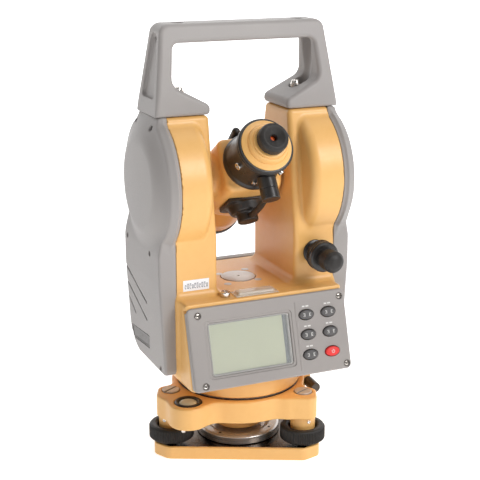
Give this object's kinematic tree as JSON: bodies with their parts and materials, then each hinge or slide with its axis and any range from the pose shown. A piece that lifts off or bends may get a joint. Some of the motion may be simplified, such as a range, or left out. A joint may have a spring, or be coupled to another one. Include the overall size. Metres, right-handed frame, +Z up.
{
  "type": "electronic theodolite",
  "caption": "Electronic surveying theodolite: tilting telescope between two standards with a display, carry handle and three-screw levelling base.",
  "frame": {"origin": "on the vertical axis at the underside of the base plate, the bottom centre of the bounding box", "axes": "+Z up along the vertical axis, +X along the trunnion axis to the operator's right, the operator and the display on the -Y side"},
  "size_m": [0.168, 0.15, 0.34],
  "materials": {
    "yellow_paint": "aluminium casting with a fine orange-peel satin golden-yellow enamel",
    "grey_plastic": "fine textured satin",
    "black_plastic": "satin, slightly worn",
    "black_metal": "satin black anodised",
    "steel": "turned and brushed",
    "chrome": "bright nickel plate",
    "dark_steel": "blackened spring steel",
    "clear_glass": "clear",
    "lcd": "pale green reflective display",
    "rubber_key": "matt silicone rubber",
    "red_key": "matt silicone rubber"
  },
  "bodies": {
    "base": {"base_plate": "yellow_paint", "spring_plate": "dark_steel", "center_dish": "steel", "tribrach_body": "yellow_paint", "foot_screw_cap_left": "chrome", "foot_screw_cap_right": "chrome", "foot_screw_cap_rear": "chrome", "circular_level_housing": "black_metal", "circular_level_vial": "clear_glass", "horizontal_circle": "clear_glass"},
    "foot_screw_left": {"foot_screw_left": "black_plastic"},
    "foot_screw_right": {"foot_screw_right": "black_plastic"},
    "foot_screw_rear": {"foot_screw_rear": "black_plastic"},
    "lock_knob": {"tribrach_lock_knob": "dark_steel"},
    "alidade": {"alidade_frame": "yellow_paint", "bearing_ring": "steel", "vertical_spindle": "steel", "floor_center_disc": "steel", "plate_level_tube": "clear_glass", "plate_level_cover": "clear_glass", "plate_level_adjust_screw": "chrome", "left_side_cover": "grey_plastic", "right_side_cover": "grey_plastic", "rear_cover": "grey_plastic", "display_bezel": "grey_plastic", "bezel_screw_1": "chrome", "bezel_screw_2": "chrome", "bezel_screw_3": "chrome", "bezel_screw_4": "chrome", "lcd_window": "clear_glass", "lcd_module": "lcd", "carry_handle": "grey_plastic"},
    "key_1": {"key_1": "rubber_key"},
    "key_2": {"key_2": "rubber_key"},
    "key_3": {"key_3": "rubber_key"},
    "key_4": {"key_4": "rubber_key"},
    "key_5": {"key_5": "rubber_key"},
    "key_power": {"key_power": "red_key"},
    "handle_screw_left": {"handle_screw_left": "chrome"},
    "handle_screw_right": {"handle_screw_right": "chrome"},
    "vertical_clamp": {"vertical_clamp_ring": "black_plastic"},
    "vertical_tangent": {"vertical_tangent_knob": "black_plastic"},
    "horizontal_clamp": {"horizontal_clamp_ring": "black_plastic"},
    "horizontal_tangent": {"horizontal_tangent_knob": "black_plastic"},
    "battery": {"battery_case": "grey_plastic"},
    "telescope": {"telescope_body": "yellow_paint", "trunnion_axle_left": "steel", "trunnion_axle_right": "steel", "vertical_circle": "clear_glass", "objective_ring": "black_metal", "objective_lens": "clear_glass", "beam_splitter_housing": "black_metal", "eyepiece_end_cap": "yellow_paint", "top_sight": "black_plastic", "lower_sight": "black_plastic", "laser_module": "black_metal", "laser_cable_arm": "black_plastic"},
    "focus_ring": {"focus_ring": "black_plastic"},
    "eyepiece": {"eyepiece_cup": "black_plastic", "eyepiece_lens": "clear_glass"}
  },
  "joints": [
    {"name": "alidade_turn", "type": "hinge", "parent": "base", "child": "alidade", "pos_m": [0, 0, 0.06], "axis": [0, 0, 1], "continuous": true},
    {"name": "telescope_tilt", "type": "hinge", "parent": "alidade", "child": "telescope", "pos_m": [0, 0, 0.22], "axis": [1, 0, 0], "continuous": true},
    {"name": "foot_screw_left_turn", "type": "hinge", "parent": "base", "child": "foot_screw_left", "pos_m": [-0.06067, -0.00531, 0.018], "axis": [0, 0, 1], "range_deg": [-1080, 1080]},
    {"name": "foot_screw_right_turn", "type": "hinge", "parent": "base", "child": "foot_screw_right", "pos_m": [0.03493, -0.04989, 0.018], "axis": [0, 0, 1], "range_deg": [-1080, 1080]},
    {"name": "foot_screw_rear_turn", "type": "hinge", "parent": "base", "child": "foot_screw_rear", "pos_m": [0.02574, 0.05519, 0.018], "axis": [0, 0, 1], "range_deg": [-1080, 1080]},
    {"name": "lock_knob_turn", "type": "hinge", "parent": "base", "child": "lock_knob", "pos_m": [0.05378, -0.02806, 0.0455], "axis": [0.0628, 0.998, 0], "range_deg": [-360, 360]},
    {"name": "key_1_press", "type": "slide", "parent": "alidade", "child": "key_1", "axis": [0, 0.9595, -0.2818], "range_m": [0, 0.001], "stiffness_N_per_m": 600, "springref_m": -0.0008},
    {"name": "key_2_press", "type": "slide", "parent": "alidade", "child": "key_2", "axis": [0, 0.9595, -0.2818], "range_m": [0, 0.001], "stiffness_N_per_m": 600, "springref_m": -0.0008},
    {"name": "key_3_press", "type": "slide", "parent": "alidade", "child": "key_3", "axis": [0, 0.9595, -0.2818], "range_m": [0, 0.001], "stiffness_N_per_m": 600, "springref_m": -0.0008},
    {"name": "key_4_press", "type": "slide", "parent": "alidade", "child": "key_4", "axis": [0, 0.9595, -0.2818], "range_m": [0, 0.001], "stiffness_N_per_m": 600, "springref_m": -0.0008},
    {"name": "key_5_press", "type": "slide", "parent": "alidade", "child": "key_5", "axis": [0, 0.9595, -0.2818], "range_m": [0, 0.001], "stiffness_N_per_m": 600, "springref_m": -0.0008},
    {"name": "key_power_press", "type": "slide", "parent": "alidade", "child": "key_power", "axis": [0, 0.9595, -0.2818], "range_m": [0, 0.001], "stiffness_N_per_m": 600, "springref_m": -0.0008},
    {"name": "handle_screw_left_turn", "type": "hinge", "parent": "alidade", "child": "handle_screw_left", "pos_m": [-0.049, 0, 0.285], "axis": [0, 0, 1], "range_deg": [-1080, 1080]},
    {"name": "handle_screw_right_turn", "type": "hinge", "parent": "alidade", "child": "handle_screw_right", "pos_m": [0.049, 0, 0.285], "axis": [0, 0, 1], "range_deg": [-1080, 1080]},
    {"name": "vertical_clamp_turn", "type": "hinge", "parent": "alidade", "child": "vertical_clamp", "pos_m": [0.049, -0.05, 0.1625], "axis": [0, -1, 0], "range_deg": [-60, 60]},
    {"name": "vertical_tangent_turn", "type": "hinge", "parent": "alidade", "child": "vertical_tangent", "pos_m": [0.049, -0.065, 0.1625], "axis": [0, -1, 0], "range_deg": [-1800, 1800]},
    {"name": "horizontal_clamp_turn", "type": "hinge", "parent": "alidade", "child": "horizontal_clamp", "pos_m": [0.062, 0.012, 0.062], "axis": [1, 0, 0], "range_deg": [-60, 60]},
    {"name": "horizontal_tangent_turn", "type": "hinge", "parent": "alidade", "child": "horizontal_tangent", "pos_m": [0.075, 0.012, 0.062], "axis": [1, 0, 0], "range_deg": [-1800, 1800]},
    {"name": "battery_slide", "type": "slide", "parent": "alidade", "child": "battery", "axis": [1, 0, 0], "range_m": [0, 0.025]},
    {"name": "focus_ring_turn", "type": "hinge", "parent": "telescope", "child": "focus_ring", "pos_m": [0, -0.05029, 0.25178], "axis": [0, -0.8452, 0.5345], "range_deg": [-270, 270]},
    {"name": "eyepiece_turn", "type": "hinge", "parent": "telescope", "child": "eyepiece", "pos_m": [0, -0.0617, 0.25902], "axis": [0, -0.8452, 0.5345], "range_deg": [-180, 180]}
  ]
}
